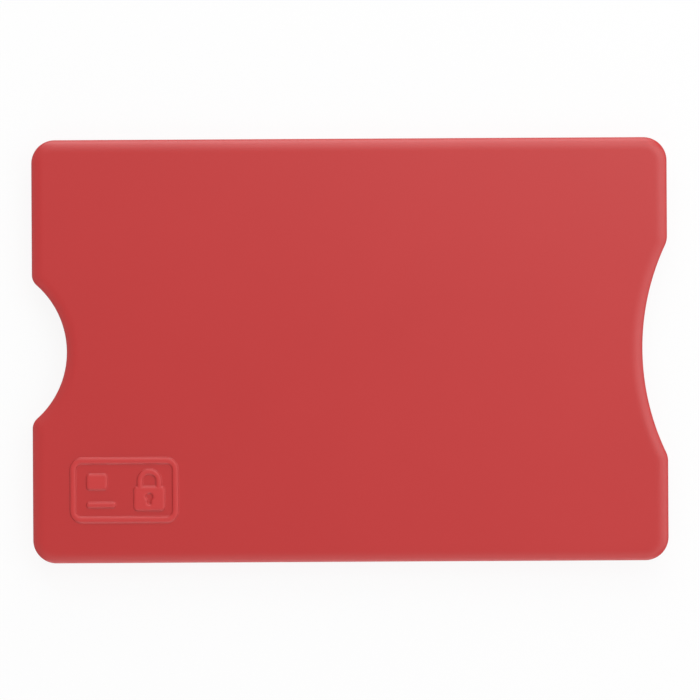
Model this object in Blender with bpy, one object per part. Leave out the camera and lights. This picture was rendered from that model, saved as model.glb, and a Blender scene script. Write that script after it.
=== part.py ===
"""A rigid plastic sleeve for one payment card, with a metal sheet in each half that screens the card's chip.

It lies flat with its rear face on the ground at z = 0. The closed end, with the deep thumb notch, is at -X
and the open mouth, with the wide shallow notch, is at +X. The rear shell is a tray whose rails guide the card,
and the front shell is its lid. Each is drawn in its own frame, outer face at z = 0 and inner side up, and the
front one is then turned over.
"""

import math
from collections import namedtuple

import bmesh
import bpy

MM = 0.001

# The card that the sleeve holds, of the size that all payment cards share, with its raised characters
CARD_LENGTH = 85.6 * MM
CARD_WIDTH = 53.98 * MM
CARD_THICKNESS = 0.76 * MM
CARD_RAISED_CHARACTERS = 0.46 * MM
CARD_SIDE_CLEARANCE = 0.31 * MM
CARD_FACE_CLEARANCE = 0.08 * MM

# The walls that the shells put around the card
SKIN_THICKNESS = 1.0 * MM
RAIL_WIDTH = 3.0 * MM
STOP_WALL = 3.3 * MM
MOUTH_MARGIN = 2.1 * MM

# The outline seen from above
CORNER_RADIUS = 3.35 * MM
THUMB_NOTCH_RADIUS = 12.75 * MM
THUMB_NOTCH_DEPTH = 4.95 * MM
THUMB_SHOULDER_RADIUS = 2.0 * MM
MOUTH_NOTCH_RADIUS = 34.8 * MM
MOUTH_NOTCH_DEPTH = 3.6 * MM
MOUTH_SHOULDER_RADIUS = 3.2 * MM
LEAST_ROUND = 0.3 * MM

# The soft rim of each outer face, and the small bevels at the joint and at the lips of the slot
RIM_WIDTH = 1.7 * MM
RIM_DROP = 0.65 * MM
JOINT_BEVEL = 0.12 * MM
LIP_BEVEL = 0.2 * MM

# The slot between the rails
CHANNEL_CORNER_RADIUS = 2.0 * MM
LEAST_STOP_WALL = 1.2 * MM
LEAD_IN = 0.6 * MM
NUB_CLEARANCE = 0.06 * MM
NUB_LENGTH = 6.0 * MM
NUB_SETBACK = 8.0 * MM

# The weld ridges on the rails, the grooves in the lid that take them and the gap between the shells
JOINT_GAP = 0.1 * MM
RIDGE_WIDTH = 0.9 * MM
RIDGE_TIP_WIDTH = 0.6 * MM
RIDGE_HEIGHT = 0.35 * MM
RIDGE_ROOT = 0.3 * MM
RIDGE_CLEARANCE = 0.1 * MM
RIDGE_END_MARGIN = 1.5 * MM

# The lining of each skin: a screening sheet and the film that sticks it down
SHEET_THICKNESS = 0.15 * MM
FILM_THICKNESS = 0.1 * MM
LAYER_GAP = 0.03 * MM
SHEET_CLEARANCE = 0.2 * MM
SHEET_SETBACK = 1.2 * MM
FILM_SETBACK = 0.4 * MM

# How far a cutter runs past what it cuts
OVERRUN = 0.5 * MM

# Straight facets in each arc
CORNER_STEPS = 10
SHOULDER_STEPS = 6
THUMB_STEPS = 12
MOUTH_STEPS = 14
RIM_STEPS = 6
NUB_STEPS = 8

# Sizes that follow from the ones above
LINING_HEIGHT = SHEET_THICKNESS + FILM_THICKNESS + 2 * LAYER_GAP
CARD_SLOT_HEIGHT = CARD_THICKNESS + CARD_RAISED_CHARACTERS + 2 * CARD_FACE_CLEARANCE
CHANNEL_HEIGHT = CARD_SLOT_HEIGHT + 2 * LINING_HEIGHT
THICKNESS = 2 * SKIN_THICKNESS + CHANNEL_HEIGHT
CHANNEL_HALF_WIDTH = CARD_WIDTH / 2 + CARD_SIDE_CLEARANCE
HALF_WIDTH = CHANNEL_HALF_WIDTH + RAIL_WIDTH
HALF_LENGTH = (STOP_WALL + CARD_LENGTH + MOUTH_MARGIN) / 2
STOP_X = STOP_WALL - HALF_LENGTH
NUB_REACH = CARD_SIDE_CLEARANCE - NUB_CLEARANCE
LID_HEIGHT = SKIN_THICKNESS
TRAY_HEIGHT = SKIN_THICKNESS + CHANNEL_HEIGHT - JOINT_GAP
GROOVE_FLOOR = THICKNESS - TRAY_HEIGHT - RIDGE_HEIGHT - RIDGE_CLEARANCE

Notch = namedtuple("Notch", "radius depth shoulder steps")
THUMB_NOTCH = Notch(THUMB_NOTCH_RADIUS, THUMB_NOTCH_DEPTH, THUMB_SHOULDER_RADIUS, THUMB_STEPS)
MOUTH_NOTCH = Notch(MOUTH_NOTCH_RADIUS, MOUTH_NOTCH_DEPTH, MOUTH_SHOULDER_RADIUS, MOUTH_STEPS)


def arc(x, y, radius, start, end, steps):
    """Points along an arc about (x, y), from one angle to another, with both ends."""
    angles = [start + (end - start) * i / steps for i in range(steps + 1)]
    return [(x + radius * math.cos(a), y + radius * math.sin(a)) for a in angles]


def notch_centre(notch):
    """How far from the middle of the sleeve the centre of a notch's circle lies, past the edge it cuts."""
    return HALF_LENGTH - notch.depth + notch.radius


def shoulder_centre(notch, inset, edge):
    """Radius and centre of the round between a notch's arc, set in by inset, and an edge set in by its own."""
    radius = max(notch.shoulder - inset, LEAST_ROUND)
    x = HALF_LENGTH - edge - radius
    reach = notch.radius + inset + radius
    return radius, x, math.sqrt(reach**2 - (notch_centre(notch) - x) ** 2)


def half_notch(notch, inset, edge):
    """The upper half of a notch in the +X edge, from its deepest point out to the straight edge."""
    radius, x, y = shoulder_centre(notch, inset, edge)
    lean = math.atan2(y, x - notch_centre(notch))
    hollow = arc(notch_centre(notch), 0, notch.radius + inset, math.pi, lean, notch.steps)
    return hollow + arc(x, y, radius, lean - math.pi, 0, SHOULDER_STEPS)[1:]


def notched_plate(inset, stop, side, corner):
    """An outline that keeps inset from the mouth and both notches, stop from the closed edge, side from the rest.

    It runs anticlockwise, and it always has as many points.
    """
    y = HALF_WIDTH - side - corner
    upper = half_notch(MOUTH_NOTCH, inset, inset)
    upper += arc(HALF_LENGTH - inset - corner, y, corner, 0, math.pi / 2, CORNER_STEPS)
    upper += arc(stop + corner - HALF_LENGTH, y, corner, math.pi / 2, math.pi, CORNER_STEPS)
    upper += [(-px, py) for px, py in reversed(half_notch(THUMB_NOTCH, inset, stop))]
    return upper + [(px, -py) for px, py in reversed(upper[1:-1])]


def outline(inset):
    """The sleeve's outline, set in by the same inset all round."""
    return notched_plate(inset, inset, inset, max(CORNER_RADIUS - inset, LEAST_ROUND))


def lining(clearance):
    """The outline of a sheet that lies between the rails, clear of their nubs, and stops short of the lips."""
    stop = STOP_WALL + clearance
    side = RAIL_WIDTH + NUB_REACH + clearance
    return notched_plate(SHEET_SETBACK + clearance, stop, side, CHANNEL_CORNER_RADIUS)


def mirrored(points):
    """The same closed outline on the other side of the X axis, still anticlockwise."""
    return [(x, -y) for x, y in reversed(points)]


def channel_wall():
    """The upper wall of the card channel, from the mouth to the thumb gap: lead-in, nub, corner and stop."""
    nub_radius = (NUB_LENGTH**2 / 4 + NUB_REACH**2) / (2 * NUB_REACH)
    nub_x = STOP_X + CARD_LENGTH - NUB_SETBACK
    nub_y = CHANNEL_HALF_WIDTH - NUB_REACH + nub_radius
    half_angle = math.asin(NUB_LENGTH / (2 * nub_radius))
    down = -math.pi / 2
    wall = [(HALF_LENGTH + OVERRUN, CHANNEL_HALF_WIDTH + LEAD_IN + OVERRUN)]
    wall += [(HALF_LENGTH - LEAD_IN, CHANNEL_HALF_WIDTH)]
    wall += arc(nub_x, nub_y, nub_radius, down + half_angle, down - half_angle, NUB_STEPS)
    corner_x = STOP_X + CHANNEL_CORNER_RADIUS
    corner_y = CHANNEL_HALF_WIDTH - CHANNEL_CORNER_RADIUS
    wall += arc(corner_x, corner_y, CHANNEL_CORNER_RADIUS, math.pi / 2, math.pi, CORNER_STEPS)
    gap_x = notch_centre(THUMB_NOTCH) + STOP_X - LEAST_STOP_WALL
    gap_y = math.sqrt(THUMB_NOTCH_RADIUS**2 - gap_x**2)
    return wall + [(STOP_X, gap_y), (-HALF_LENGTH - OVERRUN, gap_y)]


def channel():
    """The card channel seen from above, open at the mouth and at the thumb gap."""
    wall = channel_wall()
    return wall + [(x, -y) for x, y in reversed(wall)]


def ridge_strip(half_width):
    """The upper weld ridge seen from above: a strip along the rail's middle and round into the stop wall."""
    middle_y = HALF_WIDTH - RAIL_WIDTH / 2
    middle_x = -HALF_LENGTH + STOP_WALL / 2
    radius = max(CORNER_RADIUS - RAIL_WIDTH / 2, half_width + LEAST_ROUND)
    mouth_end = HALF_LENGTH - CORNER_RADIUS
    stop_end = shoulder_centre(THUMB_NOTCH, 0, 0)[2] + RIDGE_END_MARGIN
    x, y = middle_x + radius, middle_y - radius
    outer = [(mouth_end, middle_y + half_width)]
    outer += arc(x, y, radius + half_width, math.pi / 2, math.pi, CORNER_STEPS)
    outer += [(middle_x - half_width, stop_end)]
    inner = [(middle_x + half_width, stop_end)]
    inner += arc(x, y, radius - half_width, math.pi, math.pi / 2, CORNER_STEPS)
    inner += [(mouth_end, middle_y - half_width)]
    return outer + inner


def ridge_strips(clearance):
    """Base and tip outlines of the upper and of the lower ridge, wider all round by a clearance."""
    base = ridge_strip(RIDGE_WIDTH / 2 + clearance)
    tip = ridge_strip(RIDGE_TIP_WIDTH / 2 + clearance)
    return {"upper": (base, tip), "lower": (mirrored(base), mirrored(tip))}


def at_height(points, z):
    return [(x, y, z) for x, y in points]


def new_object(name, mesh, parent):
    data = bpy.data.meshes.new(name)
    mesh.to_mesh(data)
    mesh.free()
    made = bpy.data.objects.new(name, data)
    bpy.context.scene.collection.objects.link(made)
    made.parent = parent
    return made


def loft(name, rings, parent):
    """A closed solid through rings with as many points each, from the lowest up, with flat ends."""
    mesh = bmesh.new()
    loops = [[mesh.verts.new(point) for point in ring] for ring in rings]
    for low, high in zip(loops, loops[1:]):
        for i, corner in enumerate(low):
            following = (i + 1) % len(low)
            mesh.faces.new((corner, low[following], high[following], high[i]))
    mesh.faces.new(list(reversed(loops[0])))
    mesh.faces.new(loops[-1])
    return new_object(name, mesh, parent)


def slab(name, points, low, high, parent):
    """A flat plate of one outline between two heights."""
    return loft(name, [at_height(points, low), at_height(points, high)], parent)


def boolean(target, tool, operation):
    """Cuts the tool from the target or joins it on. The tool stays in the file as a hidden guide."""
    modifier = target.modifiers.new(tool.name, "BOOLEAN")
    modifier.operation = operation
    modifier.object = tool
    tool.hide_render = True
    tool.display_type = "WIRE"


def finish(piece, material):
    """Gives a piece its material, smooth on its rounds and sharp at its edges."""
    piece.data.materials.append(material)
    piece.data.shade_smooth()
    piece.data.set_sharp_from_angle(angle=math.radians(30))


def material(name, colour, roughness, metallic):
    made = bpy.data.materials.new(name)
    made.use_nodes = True
    shader = made.node_tree.nodes["Principled BSDF"]
    shader.inputs["Base Color"].default_value = (*colour, 1)
    shader.inputs["Roughness"].default_value = roughness
    shader.inputs["Metallic"].default_value = metallic
    return made


def shell_blank(name, height, parent):
    """The outer form of a shell: a flat face, a rim that falls away as a quarter ellipse, and a wall."""
    rings = []
    for i in range(RIM_STEPS + 1):
        turn = math.pi / 2 * i / RIM_STEPS
        inset = RIM_WIDTH * (1 - math.sin(turn))
        rings.append(at_height(outline(inset), RIM_DROP * (1 - math.cos(turn))))
    rings.append(at_height(outline(0), height - JOINT_BEVEL))
    rings.append(at_height(outline(JOINT_BEVEL), height))
    return loft(name, rings, parent)


def channel_cutter(side, parent):
    """What leaves the rails and the stop wall standing. Its lip core keeps the skin, bevelled at its lips."""
    low = SKIN_THICKNESS - 1.5 * LIP_BEVEL
    cutter = slab(f"{side}_channel_cutter", channel(), low, THICKNESS, parent)
    core_rings = [
        at_height(outline(-LIP_BEVEL), SKIN_THICKNESS - 2 * LIP_BEVEL),
        at_height(outline(LIP_BEVEL), SKIN_THICKNESS),
    ]
    boolean(cutter, loft(f"{side}_lip_core", core_rings, parent), "DIFFERENCE")
    return cutter


def shell(side, height, parent):
    """A moulded shell with its card channel, before its ridges or grooves."""
    made = shell_blank(f"{side}_shell", height, parent)
    boolean(made, channel_cutter(side, parent), "DIFFERENCE")
    return made


def add_ridges(tray, parent):
    """Stands the two weld ridges on the tray's rails."""
    for part, (base, tip) in ridge_strips(0).items():
        rings = [
            at_height(base, TRAY_HEIGHT - RIDGE_ROOT),
            at_height(base, TRAY_HEIGHT),
            at_height(tip, TRAY_HEIGHT + RIDGE_HEIGHT),
        ]
        boolean(tray, loft(f"{part}_ridge", rings, parent), "UNION")


def cut_grooves(lid, parent):
    """Sinks the grooves into the lid, as deep as the ridges reach and their clearance more."""
    for part, (base, tip) in ridge_strips(RIDGE_CLEARANCE).items():
        rings = [
            at_height(tip, GROOVE_FLOOR),
            at_height(base, LID_HEIGHT),
            at_height(base, LID_HEIGHT + OVERRUN),
        ]
        boolean(lid, loft(f"{part}_groove_cutter", rings, parent), "DIFFERENCE")


def adhesive(side, parent):
    """The double-sided film between the skin and the sheet."""
    low = SKIN_THICKNESS + LAYER_GAP
    film = lining(SHEET_CLEARANCE + FILM_SETBACK)
    return slab(f"{side}_adhesive", film, low, low + FILM_THICKNESS, parent)


def shield(side, parent):
    """The thin metal sheet that screens the card's chip, and lies against the card's face."""
    high = SKIN_THICKNESS + LINING_HEIGHT
    return slab(f"{side}_shield", lining(SHEET_CLEARANCE), high - SHEET_THICKNESS, high, parent)


def new_frame(name, parent):
    frame = bpy.data.objects.new(name, None)
    bpy.context.scene.collection.objects.link(frame)
    frame.parent = parent
    return frame


def build():
    for old in list(bpy.data.objects):
        bpy.data.objects.remove(old)
    red_plastic = material("red_plastic", (0.515, 0.026, 0.028), 0.4, 0)
    bare_metal = material("aluminium_sheet", (0.8, 0.81, 0.82), 0.35, 1)
    clear_film = material("clear_film", (0.75, 0.74, 0.68), 0.5, 0)

    sleeve = new_frame("sleeve", None)
    rear = new_frame("rear_half", sleeve)
    front = new_frame("front_half", sleeve)
    front.location.z = THICKNESS
    front.rotation_euler.x = math.pi

    tray = shell("rear", TRAY_HEIGHT, rear)
    add_ridges(tray, rear)
    lid = shell("front", LID_HEIGHT, front)
    cut_grooves(lid, front)
    finish(tray, red_plastic)
    finish(lid, red_plastic)
    for side, half in (("rear", rear), ("front", front)):
        finish(shield(side, half), bare_metal)
        finish(adhesive(side, half), clear_film)


build()
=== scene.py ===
"""The looks of a rigid red plastic sleeve for one payment card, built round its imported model, in metres."""

import math
from collections import namedtuple

import bpy
import numpy as np
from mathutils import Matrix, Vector
from mathutils.geometry import delaunay_2d_cdt


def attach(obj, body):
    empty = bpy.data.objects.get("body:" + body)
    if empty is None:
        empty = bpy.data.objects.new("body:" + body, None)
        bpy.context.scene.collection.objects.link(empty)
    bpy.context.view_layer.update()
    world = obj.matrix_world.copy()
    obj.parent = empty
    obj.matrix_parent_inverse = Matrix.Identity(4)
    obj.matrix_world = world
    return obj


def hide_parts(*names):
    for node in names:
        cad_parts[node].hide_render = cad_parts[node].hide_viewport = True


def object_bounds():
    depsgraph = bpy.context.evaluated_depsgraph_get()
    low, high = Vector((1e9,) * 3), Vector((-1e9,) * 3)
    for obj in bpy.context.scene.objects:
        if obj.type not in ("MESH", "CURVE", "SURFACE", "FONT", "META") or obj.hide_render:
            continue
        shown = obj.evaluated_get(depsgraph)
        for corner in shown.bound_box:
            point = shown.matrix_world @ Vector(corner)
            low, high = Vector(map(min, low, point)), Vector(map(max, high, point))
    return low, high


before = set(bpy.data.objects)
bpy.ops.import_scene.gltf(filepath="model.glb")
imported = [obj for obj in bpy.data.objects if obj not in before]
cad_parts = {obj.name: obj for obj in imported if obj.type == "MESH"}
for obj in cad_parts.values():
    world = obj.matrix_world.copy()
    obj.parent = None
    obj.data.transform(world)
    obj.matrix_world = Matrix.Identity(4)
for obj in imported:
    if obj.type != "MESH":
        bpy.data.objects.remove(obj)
cad_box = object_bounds()

# Rear shell: the tray of the sleeve, injection moulded in satin red plastic. Its skin carries rails on
# three sides that guide the card. It has a soft rim round its face, an open mouth at +X and a thumb gap
# at -X.
MM = 0.001
HALF_LENGTH, HALF_WIDTH, THICKNESS = cad_box[1]
TRAY_HEIGHT = 2.9 * MM
SKIN_THICKNESS = 1.0 * MM
RAIL_WIDTH = 3.0 * MM
STOP_WALL = 3.3 * MM
CHANNEL_HALF_WIDTH = HALF_WIDTH - RAIL_WIDTH
STOP_X = STOP_WALL - HALF_LENGTH
CORNER_RADIUS = 3.35 * MM
RIM_WIDTH = 1.7 * MM
RIM_DROP = 0.65 * MM
RIM_ROUND = 0.25 * MM
RIM_SPAN = 0.9
JOINT_ROUND = 0.12 * MM
LIP_ROUND = 0.2 * MM
FLAT_MARGIN = 0.25 * MM
RIM_STEPS = 18
EDGE_STEPS = 4
CORNER_STEPS = 22
SHOULDER_STEPS = 12
SHORT_RUN_STEPS = 4
LONG_RUN_STEPS = 24

Notch = namedtuple("Notch", "radius depth shoulder steps")
THUMB_NOTCH = Notch(12.75 * MM, 4.95 * MM, 2.0 * MM, 26)
MOUTH_NOTCH = Notch(34.8 * MM, 3.6 * MM, 3.2 * MM, 30)


def arc(x, y, radius, start, end, steps):
    """Points of an arc: its centre plus the radius times the cosine and sine of an even turn."""
    turn = np.linspace(start, end, steps + 1)
    return np.stack([x + radius * np.cos(turn), y + radius * np.sin(turn)], axis=1)


def joined(stretches, steps):
    """The stretches in order, with the straight run between each two cut into even steps."""
    parts = [stretches[0]]
    for following, count in zip(stretches[1:], steps):
        share = np.linspace(0, 1, count + 1)[1:-1, None]
        parts.append((1 - share) * parts[-1][-1] + share * following[0])
        parts.append(following)
    return np.concatenate(parts)


def notch_centre(notch):
    """How far from the sleeve's middle the centre of a notch's circle lies, past the edge it cuts."""
    return HALF_LENGTH - notch.depth + notch.radius


def half_notch(notch, inset):
    """Upper half of a notch in the +X edge, set in: its arc, then the round shoulder at the edge.

    The shoulder's circle touches the edge, and touches the notch's circle from outside.
    """
    radius = notch.shoulder - inset
    x = HALF_LENGTH - notch.shoulder
    y = math.sqrt((notch.radius + notch.shoulder) ** 2 - (notch_centre(notch) - x) ** 2)
    lean = math.atan2(y, x - notch_centre(notch))
    hollow = arc(notch_centre(notch), 0, notch.radius + inset, math.pi, lean, notch.steps)
    return np.concatenate([hollow, arc(x, y, radius, lean - math.pi, 0, SHOULDER_STEPS)[1:]])


def outline(inset):
    """The sleeve's outline from above, set in evenly all round, anticlockwise from the mouth.

    Its upper half is two half notches and two quarter circles, joined by straight runs, and its lower
    half mirrors that.
    """
    corner = CORNER_RADIUS - inset
    x = HALF_LENGTH - CORNER_RADIUS
    y = HALF_WIDTH - CORNER_RADIUS
    stretches = [
        half_notch(MOUTH_NOTCH, inset),
        arc(x, y, corner, 0, math.pi / 2, CORNER_STEPS),
        arc(-x, y, corner, math.pi / 2, math.pi, CORNER_STEPS),
        half_notch(THUMB_NOTCH, inset)[::-1] * (-1, 1),
    ]
    upper = joined(stretches, (SHORT_RUN_STEPS, LONG_RUN_STEPS, SHORT_RUN_STEPS))
    return np.concatenate([upper, upper[-2:0:-1] * (1, -1)])


def at_depth(points, depth):
    """Plan points with a depth below the shell's outer face as their third number."""
    return np.column_stack([points, np.broadcast_to(depth, len(points))])


def shell_rows(height, edge_round):
    """Rows of points carried round the outline, from the flat face over the rim, wall and joint edge.

    The rim is a shallow ellipse as far as its span, the sine of the turn at which it is cut. A small
    round is added all along and carries on down to the wall, and the points lie where the slope has
    turned by even steps. The joint edge is a quarter circle, whose radius may change along the outline.
    """
    slope = np.linspace(0, math.pi / 2, RIM_STEPS + 1)
    reach = RIM_WIDTH - RIM_ROUND
    long_half = reach / RIM_SPAN
    short_half = (RIM_DROP - RIM_ROUND) / (1 - math.sqrt(1 - RIM_SPAN**2))
    ellipse_turn = np.arctan2(long_half * np.sin(slope), short_half * np.cos(slope))
    turn = np.minimum(ellipse_turn, math.asin(RIM_SPAN))
    insets = reach - long_half * np.sin(turn) + RIM_ROUND * (1 - np.sin(slope))
    depths = short_half * (1 - np.cos(turn)) + RIM_ROUND * (1 - np.cos(slope))
    rows = [at_depth(outline(RIM_WIDTH + FLAT_MARGIN), 0)]
    for inset, depth in zip(insets, depths):
        rows.append(at_depth(outline(inset), depth))
    inward = (outline(FLAT_MARGIN) - outline(0)) / FLAT_MARGIN
    for angle in np.linspace(0, math.pi / 2, EDGE_STEPS + 1):
        inset = edge_round * (1 - np.cos(angle))
        depth = height - edge_round * (1 - np.sin(angle))
        rows.append(at_depth(outline(0) + inward * inset[:, None], depth))
    rows.append(at_depth(outline(0) + inward * (edge_round[:, None] + FLAT_MARGIN), height))
    return np.stack(rows)


def quads(*corners):
    """Faces of four corners each, from four equal arrays of point numbers."""
    return np.stack(corners, axis=-1).reshape(-1, 4).tolist()


def band_faces(number):
    """Faces of a closed band, from rows of point numbers: each point, the next, and the two above."""
    following = np.roll(number, -1, axis=1)
    return quads(number[:-1], following[:-1], following[1:], number[1:])


def new_piece(name, points, faces, flip=False):
    """A mesh object at the origin from an array of points and lists of faces, turned over if flipped."""
    mesh = bpy.data.meshes.new(name)
    mesh.from_pydata(points.tolist(), [], [face[::-1] if flip else face for face in faces])
    mesh.validate()
    piece = bpy.data.objects.new(name, mesh)
    bpy.context.scene.collection.objects.link(piece)
    return piece


def solid(name, rows):
    """A closed solid through rings of points, with flat ends."""
    number = np.arange(rows[..., 0].size).reshape(rows.shape[:2])
    ends = [number[0, ::-1].tolist(), number[-1].tolist()]
    return new_piece(name, rows.reshape(-1, 3), band_faces(number) + ends)


def settle(piece):
    """Replaces a piece's mesh by what its modifiers make of it."""
    evaluated = piece.evaluated_get(bpy.context.evaluated_depsgraph_get())
    mesh = bpy.data.meshes.new_from_object(evaluated)
    piece.modifiers.clear()
    piece.data = mesh


def combine(piece, tool, operation):
    """Cuts a tool from a piece or joins it on, and removes the tool."""
    modifier = piece.modifiers.new(operation.lower(), "BOOLEAN")
    modifier.operation = operation
    modifier.object = tool
    settle(piece)
    bpy.data.objects.remove(tool)


CARD_LENGTH = 85.6 * MM
LEAD_IN = 0.6 * MM
NUB_REACH = 0.25 * MM
NUB_LENGTH = 6.0 * MM
NUB_SETBACK = 8.0 * MM
NUB_STEPS = 16
CHANNEL_CORNER_RADIUS = 2.0 * MM
LEAST_STOP_WALL = 1.2 * MM
OVERRUN = 0.5 * MM
GAP_X = notch_centre(THUMB_NOTCH) + STOP_X - LEAST_STOP_WALL
GAP_Y = math.sqrt(THUMB_NOTCH.radius**2 - GAP_X**2)


def channel():
    """The card channel from above: lead-in, nub, round corner, stop and thumb gap, then their mirror.

    A nub is the circle through its two ends on the rail and its crest, which stands off it by its reach.
    """
    nub_radius = (NUB_LENGTH**2 / 4 + NUB_REACH**2) / (2 * NUB_REACH)
    nub_x = STOP_X + CARD_LENGTH - NUB_SETBACK
    nub_y = CHANNEL_HALF_WIDTH - NUB_REACH + nub_radius
    half_angle = math.asin(NUB_LENGTH / (2 * nub_radius))
    down = -math.pi / 2
    radius = CHANNEL_CORNER_RADIUS
    corner_x = STOP_X + radius
    corner_y = CHANNEL_HALF_WIDTH - radius
    wall = [
        [(HALF_LENGTH + OVERRUN, CHANNEL_HALF_WIDTH + LEAD_IN + OVERRUN)],
        [(HALF_LENGTH - LEAD_IN, CHANNEL_HALF_WIDTH)],
        arc(nub_x, nub_y, nub_radius, down + half_angle, down - half_angle, NUB_STEPS),
        arc(corner_x, corner_y, radius, math.pi / 2, math.pi, CORNER_STEPS),
        [(STOP_X, GAP_Y), (-HALF_LENGTH - OVERRUN, GAP_Y)],
    ]
    upper = np.concatenate(wall)
    return np.concatenate([upper, upper[::-1] * (1, -1)])


LIP_CORE_DEPTH = 2 * LIP_ROUND
CHANNEL_CUT_DEPTH = 1.5 * LIP_ROUND


def lip_core():
    """What the channel leaves of the skin: a plate with a quarter circle round its upper edge."""
    rows = [at_depth(outline(-LIP_ROUND), SKIN_THICKNESS - LIP_CORE_DEPTH)]
    for angle in np.linspace(0, math.pi / 2, EDGE_STEPS + 1):
        inset = LIP_ROUND * (1 - math.cos(angle))
        rows.append(at_depth(outline(inset), SKIN_THICKNESS - LIP_ROUND * (1 - math.sin(angle))))
    return solid("lip_core", np.stack(rows))


RIDGE_WIDTH = 0.9 * MM
RIDGE_TIP_WIDTH = 0.6 * MM
RIDGE_HEIGHT = 0.35 * MM
RIDGE_END_MARGIN = 1.5 * MM


def ridge_strip(half_width):
    """The upper weld ridge from above: a strip along the rail's middle, then round into the stop wall."""
    middle_y = HALF_WIDTH - RAIL_WIDTH / 2
    middle_x = -HALF_LENGTH + STOP_WALL / 2
    radius = CORNER_RADIUS - RAIL_WIDTH / 2
    x, y = middle_x + radius, middle_y - radius
    mouth_end = HALF_LENGTH - CORNER_RADIUS
    stop_end = half_notch(THUMB_NOTCH, 0)[-1, 1] + RIDGE_END_MARGIN
    strip = [
        [(mouth_end, middle_y + half_width)],
        arc(x, y, radius + half_width, math.pi / 2, math.pi, CORNER_STEPS),
        [(middle_x - half_width, stop_end), (middle_x + half_width, stop_end)],
        arc(x, y, radius - half_width, math.pi, math.pi / 2, CORNER_STEPS),
        [(mouth_end, middle_y - half_width)],
    ]
    return np.concatenate(strip)


def ridge_strips(clearance):
    """Base and tip outlines of both ridges, wider all round by a clearance, the lower pair mirrored."""
    base = ridge_strip(RIDGE_WIDTH / 2 + clearance)
    tip = ridge_strip(RIDGE_TIP_WIDTH / 2 + clearance)
    return [(base, tip), (base[::-1] * (1, -1), tip[::-1] * (1, -1))]


class Value:
    """One output in a node tree, on which Python's arithmetic adds Math nodes."""

    def __init__(self, nodes, socket):
        self.nodes = nodes
        self.socket = socket

    def combined(self, operation, *values):
        """The output of a new Math node on values or numbers, in their order."""
        return self.nodes.node("ShaderNodeMath", {"operation": operation}, dict(enumerate(values)))

    def __add__(self, other):
        return self.combined("ADD", self, other)

    def __sub__(self, other):
        return self.combined("SUBTRACT", self, other)

    def __rsub__(self, other):
        return self.combined("SUBTRACT", other, self)

    def __mul__(self, other):
        return self.combined("MULTIPLY", self, other)

    def __abs__(self):
        return self.combined("ABSOLUTE", self)

    __radd__ = __add__
    __rmul__ = __mul__


class Nodes:
    """A node tree that is filled by code."""

    def __init__(self, tree):
        self.tree = tree

    def fill(self, node, sockets):
        """Sets or links a node's sockets, named or numbered, with numbers, colours or outputs."""
        for key, value in sockets.items():
            if isinstance(value, Value):
                self.tree.links.new(value.socket, node.inputs[key])
            else:
                node.inputs[key].default_value = value

    def node(self, kind, settings, sockets, output=0):
        """Adds a node: its settings first, then its sockets. Gives one of its outputs."""
        made = self.tree.nodes.new(kind)
        for setting, value in settings.items():
            setattr(made, setting, value)
        self.fill(made, sockets)
        return Value(self, made.outputs[output])

    def spread(self, value, start, end, first=0.0, last=1.0):
        """A number that runs evenly from first to last as a value runs from start to end, held outside."""
        sockets = {"Value": value, "From Min": start, "From Max": end, "To Min": first, "To Max": last}
        return self.node("ShaderNodeMapRange", {"clamp": True}, sockets)


MIX_SHARE, MIX_FIRST, MIX_SECOND = 0, 6, 7
MIX_COLOUR = 2


class Surface(Nodes):
    """A procedural material with one shader, whose own sockets hold what is the same all over."""

    def __init__(self, name, constants):
        self.material = bpy.data.materials.new(name)
        self.material.use_nodes = True
        super().__init__(self.material.node_tree)
        self.shader = self.tree.nodes["Principled BSDF"]
        self.fill(self.shader, constants)

    def place(self):
        """Object coordinates, in metres."""
        return self.node("ShaderNodeTexCoord", {}, {}, "Object")

    def noise(self, grain, detail=2.0, stretch=(1, 1, 1)):
        """Noise from 0 to 1 about an even half, whose features are about as wide as the grain."""
        scale = tuple(1 / (grain * amount) for amount in stretch)
        spot = self.node("ShaderNodeMapping", {}, {"Vector": self.place(), "Scale": scale})
        return self.node("ShaderNodeTexNoise", {}, {"Vector": spot, "Scale": 1.0, "Detail": detail})

    def mixed(self, share, first, second):
        """A colour between two, which are numbers or outputs, by a share from 0 to 1."""
        first, second = (end if isinstance(end, Value) else (*end, 1) for end in (first, second))
        sockets = {MIX_SHARE: share, MIX_FIRST: first, MIX_SECOND: second}
        return self.node("ShaderNodeMix", {"data_type": "RGBA"}, sockets, MIX_COLOUR)

    def bump(self, height, depth):
        """Normals bent by a height from 0 to 1 that stands for a depth in metres."""
        sockets = {"Height": height, "Distance": depth, "Strength": 1.0}
        return self.node("ShaderNodeBump", {}, sockets)


SIGN_RELIEF = 0.25 * MM
PALE_FROM = 0.4
DEEP_RED = (0.434, 0.0036, 0.0033)
# Painted glow: the rim's brighter red stands in for light that passes through its thin edge.
RIM_PAINTED_GLOW_RED = (0.506, 0.0036, 0.0033)
# Pale red: a random flow of tone over the whole shell, and a painted sheen on the raised strokes.
PALE_FLOW_AND_PAINTED_SHEEN_RED = (0.52, 0.0155, 0.015)
RED_GLOSS = 0.72
FLOW_SIZE = 24 * MM
FLOW_SHARE = 0.25
PATCH_SIZE = 5 * MM
MOULD_GRAIN = 0.16 * MM
MOULD_GRAIN_DEPTH = 0.0035 * MM
RIM_ROUGHNESS = 0.36
FACE_ROUGHER = 0.05
SIGN_ROUGHER = 0.1
PATCH_ROUGHNESS = 0.05
GRAIN_ROUGHNESS = 0.04


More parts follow.
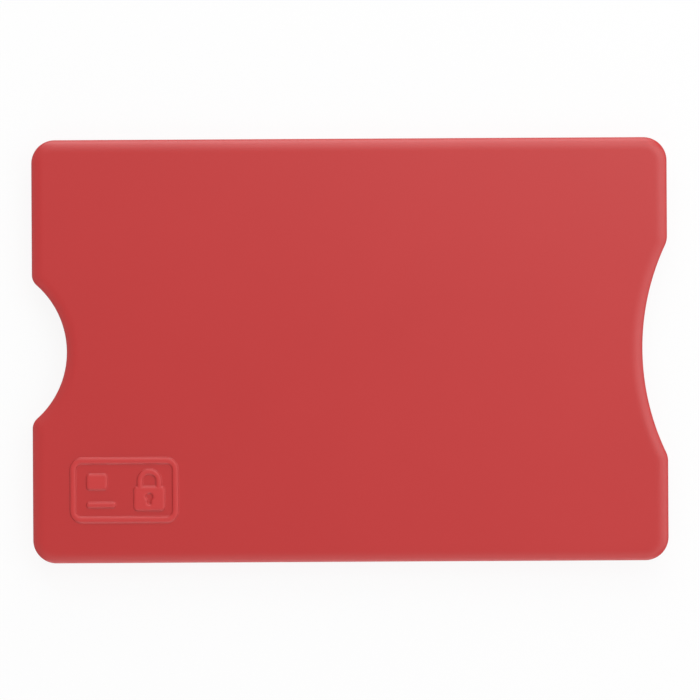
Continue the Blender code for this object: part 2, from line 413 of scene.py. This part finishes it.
def red_plastic():
    """Satin red plastic: a fine mould grain, a faint flow of colour and sheen, and a rim rubbed smoother.

    The thin rim has a brighter red base colour, a painted glow that stands in for light passing through it.
    The rim fades into the face with the height from the middle of the sleeve. What stands proud of the lid's
    face is rougher, and paler with a painted sheen.
    """
    surface = Surface("red_plastic", {"Specular IOR Level": RED_GLOSS})
    flow = surface.noise(FLOW_SIZE)
    patches = surface.noise(PATCH_SIZE)
    grain = surface.noise(MOULD_GRAIN, detail=3.0)
    height = surface.node("ShaderNodeSeparateXYZ", {}, {"Vector": surface.place()}, "Z")
    flatness = surface.spread(abs(height - THICKNESS / 2), THICKNESS / 2 - RIM_DROP, THICKNESS / 2)
    proud = surface.spread(height, THICKNESS + PALE_FROM * SIGN_RELIEF, THICKNESS + SIGN_RELIEF)
    # The rim gets the brighter red, a painted glow, fading into the deep red of the flat face.
    red = surface.mixed(flatness, RIM_PAINTED_GLOW_RED, DEEP_RED)
    # A random flow of paler tone, and a painted sheen that makes the raised strokes paler.
    flow_and_painted_sheen = FLOW_SHARE * flow + (1 - FLOW_SHARE) * proud
    roughness = RIM_ROUGHNESS + FACE_ROUGHER * flatness + PATCH_ROUGHNESS * (patches - 0.5)
    surface.fill(surface.shader, {
        "Base Color": surface.mixed(flow_and_painted_sheen, red, PALE_FLOW_AND_PAINTED_SHEEN_RED),
        "Roughness": roughness + GRAIN_ROUGHNESS * (grain - 0.5) + SIGN_ROUGHER * proud,
        "Normal": surface.bump(grain, MOULD_GRAIN_DEPTH),
    })
    return surface.material


def dress(piece, node, material, sharp_angle):
    """Gives a piece its material and smooth faces. It stands for its CAD node and rides on the sleeve."""
    piece.data.materials.clear()
    piece.data.materials.append(material)
    piece.data.shade_smooth()
    piece.data.set_sharp_from_angle(angle=sharp_angle)
    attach(piece, "root")
    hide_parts(node)


EDGE_BEVEL = 0.06 * MM
EDGE_BEVEL_SEGMENTS = 2
BEVELLED_ANGLE = math.radians(40)
TRAY_SHARP_ANGLE = math.radians(30)

shell_plastic = red_plastic()
tray_rows = shell_rows(TRAY_HEIGHT, np.full(len(outline(0)), JOINT_ROUND))
tray = solid("rear_shell_moulding", tray_rows)
channel_heights = (SKIN_THICKNESS - CHANNEL_CUT_DEPTH, THICKNESS)
channel_cutter = solid("channel_cutter", np.stack([at_depth(channel(), z) for z in channel_heights]))
combine(channel_cutter, lip_core(), "DIFFERENCE")
combine(tray, channel_cutter, "DIFFERENCE")
for base, tip in ridge_strips(0):
    heights = (TRAY_HEIGHT - RIDGE_HEIGHT, TRAY_HEIGHT, TRAY_HEIGHT + RIDGE_HEIGHT)
    ridge_rows = [at_depth(points, z) for points, z in zip((base, base, tip), heights)]
    combine(tray, solid("ridge", np.stack(ridge_rows)), "UNION")
edge_bevel = tray.modifiers.new("edge_bevel", "BEVEL")
edge_bevel.width = EDGE_BEVEL
edge_bevel.segments = EDGE_BEVEL_SEGMENTS
edge_bevel.angle_limit = BEVELLED_ANGLE
settle(tray)
dress(tray, "rear_shell", shell_plastic, TRAY_SHARP_ANGLE)

# Rear and front linings: in each shell a sheet of thin rolled aluminium that screens the card's chip,
# stuck to the skin by double-sided film. They stop short of the lips, so only their edges show, deep in
# the mouth.
DULL_ALUMINIUM = (0.77, 0.78, 0.79)
BRIGHT_ALUMINIUM = (0.83, 0.84, 0.85)
ROLLING_LINE = 0.12 * MM
ROLLING_STRETCH = 60
ROLLING_DEPTH = 0.001 * MM
SHEEN_CLOUD = 7 * MM
ALUMINIUM_ROUGHNESS = 0.26
SHEEN_ROUGHNESS = 0.1
ROLLING_ROUGHNESS = 0.08


def rolled_aluminium():
    """Mill-finish aluminium: fine rolling lines along the sleeve, and soft clouds in its sheen."""
    surface = Surface("rolled_aluminium", {"Metallic": 1.0})
    lines = surface.noise(ROLLING_LINE, detail=3.0, stretch=(ROLLING_STRETCH, 1, 1))
    clouds = surface.noise(SHEEN_CLOUD)
    surface.fill(surface.shader, {
        "Base Color": surface.mixed(clouds, DULL_ALUMINIUM, BRIGHT_ALUMINIUM),
        "Roughness": ALUMINIUM_ROUGHNESS + SHEEN_ROUGHNESS * clouds + ROLLING_ROUGHNESS * lines,
        "Normal": surface.bump(lines, ROLLING_DEPTH),
    })
    return surface.material


DENSE_FILM = (0.71, 0.7, 0.64)
AIRY_FILM = (0.79, 0.78, 0.73)
AIR_CLOUD = 2.5 * MM
AIR_CLOUD_DEPTH = 0.004 * MM
FILM_ROUGHNESS = 0.42
AIR_CLOUD_ROUGHNESS = 0.16


def clear_film():
    """Double-sided adhesive film: a milky polyester with a faint cloud of trapped air."""
    surface = Surface("clear_film", {"Specular IOR Level": 0.5})
    clouds = surface.noise(AIR_CLOUD, detail=4.0)
    surface.fill(surface.shader, {
        "Base Color": surface.mixed(clouds, DENSE_FILM, AIRY_FILM),
        "Roughness": FILM_ROUGHNESS + AIR_CLOUD_ROUGHNESS * clouds,
        "Normal": surface.bump(clouds, AIR_CLOUD_DEPTH),
    })
    return surface.material


lining = {"shield": rolled_aluminium(), "adhesive": clear_film()}
for side in ("rear", "front"):
    for layer, material in lining.items():
        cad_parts[f"{side}_{layer}"].material_slots[0].material = material

# Front shell: the flat lid of the sleeve, moulded in the same red plastic and welded onto the tray's
# ridges. A raised pictogram, a payment card with a padlock, is moulded near the closed end's lower
# corner.
LID_HEIGHT = SKIN_THICKNESS
RIDGE_CLEARANCE = 0.1 * MM
GROOVE_DEPTH = THICKNESS - TRAY_HEIGHT - RIDGE_HEIGHT - RIDGE_CLEARANCE
OPEN_BLEND = 0.4 * MM
LID_SHARP_ANGLE = math.radians(70)
SIGN_X = -32.4 * MM
SIGN_Y = -19.85 * MM
SIGN_WIDTH = 15.5 * MM
SIGN_HEIGHT = 9.3 * MM
SIGN_STROKE = 0.86 * MM
SIGN_WALL = 0.14 * MM
SIGN_CROWN = 0.35
SIGN_MARGIN = 0.5 * MM
SIGN_GRID = 0.055 * MM

Box = namedtuple("Box", "x y width height corner")
CARD_FRAME = Box(0, 0, SIGN_WIDTH - SIGN_STROKE, SIGN_HEIGHT - SIGN_STROKE, 1.3 * MM)
CARD_CHIP = Box(-3.9 * MM, 1.2 * MM, 3.0 * MM, 2.3 * MM, 0.5 * MM)
CARD_LINE = Box(-3.3 * MM, -2.1 * MM, 4.2 * MM, 0.8 * MM, 0.39 * MM)
LOCK_X = 3.6 * MM
LOCK_BODY = Box(0, -1.2 * MM, 4.5 * MM, 3.5 * MM, 0.6 * MM)
KEY_SLIT = Box(0, -1.5 * MM, 0.5 * MM, 1.1 * MM, 0.2 * MM)
KEYHOLE_Y = -0.95 * MM
KEYHOLE_RADIUS = 0.5 * MM
SHACKLE_Y = 1.3 * MM
SHACKLE_RADIUS = 1.35 * MM
SHACKLE_HALF_WIDTH = 0.4 * MM


def rounded_box(x, y, box):
    """Distance to a rectangle with round corners, negative inside.

    It is the distance to the rectangle drawn in by its corners' radius, less that radius.
    """
    over_x = np.abs(x - box.x) - box.width / 2 + box.corner
    over_y = np.abs(y - box.y) - box.height / 2 + box.corner
    outside = np.hypot(np.maximum(over_x, 0), np.maximum(over_y, 0))
    return outside + np.minimum(np.maximum(over_x, over_y), 0) - box.corner


def padlock(x, y):
    """Distance to a padlock about the origin: its body less the keyhole, or its shackle if that is nearer.

    The shackle is all that is within half its width of an arch on two legs.
    """
    keyhole = np.hypot(x, y - KEYHOLE_Y) - KEYHOLE_RADIUS
    hole = np.minimum(keyhole, rounded_box(x, y, KEY_SLIT))
    body = np.maximum(rounded_box(x, y, LOCK_BODY), -hole)
    from_arch = np.abs(np.hypot(x, np.maximum(y - SHACKLE_Y, 0)) - SHACKLE_RADIUS)
    shackle = np.maximum(from_arch - SHACKLE_HALF_WIDTH, -y)
    return np.minimum(body, shackle)


def pictogram(x, y):
    """Distance to the pictogram about the origin, negative on its strokes: the least of its parts'."""
    card = np.abs(rounded_box(x, y, CARD_FRAME)) - SIGN_STROKE / 2
    chip = rounded_box(x, y, CARD_CHIP)
    line = rounded_box(x, y, CARD_LINE)
    return np.minimum.reduce([card, chip, line, padlock(x - LOCK_X, y)])


def soft_step(share):
    """A smooth rise from 0 to 1: the share, held between them, squared and times 3 less twice itself."""
    share = np.clip(share, 0, 1)
    return share**2 * (3 - 2 * share)


def sign_patch():
    """A grid of points over the pictogram and a margin, raised on its strokes.

    The height is a smooth step across a stroke's edge, times a round crown that falls with the square
    of the distance from the stroke's middle.
    """
    halves = (SIGN_WIDTH / 2 + SIGN_MARGIN, SIGN_HEIGHT / 2 + SIGN_MARGIN)
    x, y = np.meshgrid(*(np.linspace(-half, half, round(2 * half / SIGN_GRID) + 1) for half in halves))
    distance = pictogram(x, y)
    wall = soft_step(0.5 - distance / SIGN_WALL)
    flank = np.clip(1 + 2 * distance / SIGN_STROKE, 0, 1)
    relief = SIGN_RELIEF * wall * (1 - SIGN_CROWN * flank**2)
    return np.stack([x + SIGN_X, y + SIGN_Y, -relief], axis=-1)


TRIANGLES_WITHOUT_HOLES = 2
SAME_SPOT = 1e-6


def flat_faces(points, loops):
    """Triangles that fill a flat region, inside the first loop of point numbers and outside the others."""
    order = np.concatenate(loops)
    starts = np.cumsum([0] + [len(loop) for loop in loops])
    rings = [list(range(start, end)) for start, end in zip(starts, starts[1:])]
    flat = (points[order, :2] / MM).tolist()
    made = delaunay_2d_cdt(flat, [], rings, TRIANGLES_WITHOUT_HOLES, SAME_SPOT)
    _, _, triangles, origins, _, _ = made
    source = order[np.array(origins)[:, 0]]
    return source[np.array(triangles)].tolist()


def openness(points):
    """1 where the outline passes the open mouth or the thumb gap, 0 along the rails, by a smooth step."""
    x, y = points.T
    half_gap = np.where(x > 0, CHANNEL_HALF_WIDTH, GAP_Y)
    return soft_step((half_gap - np.abs(y)) / OPEN_BLEND)


def lid_mesh():
    """The lid's points, in depth below its face, and its faces: rows, raised patch, grooves, flat caps."""
    edge_round = JOINT_ROUND + (LIP_ROUND - JOINT_ROUND) * openness(outline(0))
    parts = [shell_rows(LID_HEIGHT, edge_round), sign_patch()]
    for base, tip in ridge_strips(RIDGE_CLEARANCE):
        parts.append(np.stack([at_depth(base, LID_HEIGHT), at_depth(tip, GROOVE_DEPTH)]))
    points = np.concatenate([part.reshape(-1, 3) for part in parts])
    numbers = []
    start = 0
    for part in parts:
        end = start + part[..., 0].size
        numbers.append(np.arange(start, end).reshape(part.shape[:2]))
        start = end
    rows, patch, *grooves = numbers
    border = np.concatenate([patch[0, :-1], patch[:-1, -1], patch[-1, :0:-1], patch[:0:-1, 0]])
    faces = band_faces(rows) + quads(patch[:-1, :-1], patch[1:, :-1], patch[1:, 1:], patch[:-1, 1:])
    faces += [face[::-1] for face in flat_faces(points, [rows[0], border])]
    faces += flat_faces(points, [rows[-1], *(groove[0] for groove in grooves)])
    for groove in grooves:
        faces += band_faces(groove) + flat_faces(points, [groove[1]])
    return points, faces


lid_points, lid_faces = lid_mesh()
lid_points[:, 2] = THICKNESS - lid_points[:, 2]
lid = new_piece("front_shell_moulding", lid_points, lid_faces, flip=True)
dress(lid, "front_shell", shell_plastic, LID_SHARP_ANGLE)

# Camera and studio: the sleeve lies on a white sheet, photographed from straight above with a long lens
# and turned by a third of a degree. One soft lamp hangs over its far corner, and others stand all round,
# the strongest beyond its far edge and low before its near one.
PHOTO_PIXELS = 700
PIXEL_SIZE = 0.14322 * MM
PHOTO_CENTRE = (349.9, 350.25)
PHOTO_TURN = math.radians(0.31)
LENS_LENGTH = 200
SENSOR_WIDTH = 36

camera = bpy.data.objects.new("camera", bpy.data.cameras.new("camera"))
bpy.context.scene.collection.objects.link(camera)
camera.data.lens = LENS_LENGTH
camera.data.sensor_width = SENSOR_WIDTH
rim_top = THICKNESS - RIM_DROP
distance = PHOTO_PIXELS * PIXEL_SIZE * LENS_LENGTH / SENSOR_WIDTH
camera_x = (PHOTO_PIXELS / 2 - PHOTO_CENTRE[0]) * PIXEL_SIZE
camera_y = (PHOTO_CENTRE[1] - PHOTO_PIXELS / 2) * PIXEL_SIZE
camera.location = (camera_x, camera_y, rim_top + distance)
camera.rotation_euler.z = -PHOTO_TURN
bpy.context.scene.camera = camera


Lamp = namedtuple("Lamp", "azimuth elevation distance power")
LAMPS = {
    "key_lamp": Lamp(65, 60, 0.35, 0.435),
    "far_lamp": Lamp(90, 28, 0.6, 2.2),
    "right_lamp": Lamp(0, 30, 0.6, 0.72),
    "right_upper_lamp": Lamp(0, 50, 0.6, 0.69),
    "near_low_lamp": Lamp(-90, 11, 0.6, 1.6),
    "near_upper_lamp": Lamp(-90, 50, 0.6, 0.61),
    "left_low_lamp": Lamp(180, 11, 0.6, 0.2),
    "left_lamp": Lamp(180, 45, 0.6, 0.16),
}
LAMP_WIDTH = 1.1
LAMP_HEIGHT = 0.53


def softbox(name, lamp):
    """A wide area lamp aimed at the sleeve, whose width and height grow with its distance.

    Its angles are in degrees, with azimuth 0 past the mouth, its distance in metres and its power in
    watts.
    """
    light = bpy.data.objects.new(name, bpy.data.lights.new(name, "AREA"))
    bpy.context.scene.collection.objects.link(light)
    light.data.shape = "RECTANGLE"
    light.data.size = LAMP_WIDTH * lamp.distance
    light.data.size_y = LAMP_HEIGHT * lamp.distance
    light.data.energy = lamp.power
    turn, rise = math.radians(lamp.azimuth), math.radians(lamp.elevation)
    level = math.cos(rise)
    direction = Vector((level * math.cos(turn), level * math.sin(turn), math.sin(rise)))
    light.location = lamp.distance * direction
    light.rotation_euler = (-direction).to_track_quat("-Z", "Y").to_euler()


for name, lamp in LAMPS.items():
    softbox(name, lamp)


def seen_directly(nodes):
    """1 for what the camera, a reflection or a clear material shows, and 0 for what only lights."""
    rays = ("Camera", "Glossy", "Transmission")
    straight, mirrored, clear = (nodes.node("ShaderNodeLightPath", {}, {}, f"Is {ray} Ray") for ray in rays)
    total = straight + mirrored + clear
    return total.combined("MINIMUM", total, 1.0)


WHITE = (1, 1, 1, 1)
WORLD_LIGHT = 0.09
PAPER_COLOUR = (0.9, 0.9, 0.9, 1)
PAPER_ROUGHNESS = 0.9
PAPER_SIZE = 6.0
PAPER_DROP = 0.02 * MM
SHADOW_SHARE = 0.1
SHADOW_REACH = 0.25

world = bpy.data.worlds.new("studio")
world.use_nodes = True
bpy.context.scene.world = world
studio = Nodes(world.node_tree)
background = studio.tree.nodes["Background"]
strength = WORLD_LIGHT + (1 - WORLD_LIGHT) * seen_directly(studio)
studio.fill(background, {"Color": WHITE, "Strength": strength})

sheet = Surface("white_sheet", {"Base Color": PAPER_COLOUR, "Roughness": PAPER_ROUGHNESS})
glow = sheet.node("ShaderNodeEmission", {}, {"Color": WHITE, "Strength": 1.0})
away = sheet.node("ShaderNodeVectorMath", {"operation": "LENGTH"}, {0: sheet.place()}, "Value")
shadow = sheet.spread(away, HALF_LENGTH, SHADOW_REACH, SHADOW_SHARE, 0.0)
share = seen_directly(sheet) * (1 - shadow)
paper = Value(sheet, sheet.shader.outputs[0])
blend = sheet.node("ShaderNodeMixShader", {}, {0: share, 1: paper, 2: glow})
sheet.fill(sheet.tree.nodes["Material Output"], {"Surface": blend})
corner = PAPER_SIZE / 2
paper_corners = np.array([(-corner, -corner), (corner, -corner), (corner, corner), (-corner, corner)])
floor = new_piece("floor", at_depth(paper_corners, -PAPER_DROP), [[0, 1, 2, 3]])
floor.data.materials.append(sheet.material)

bpy.context.scene.view_settings.view_transform = "Standard"
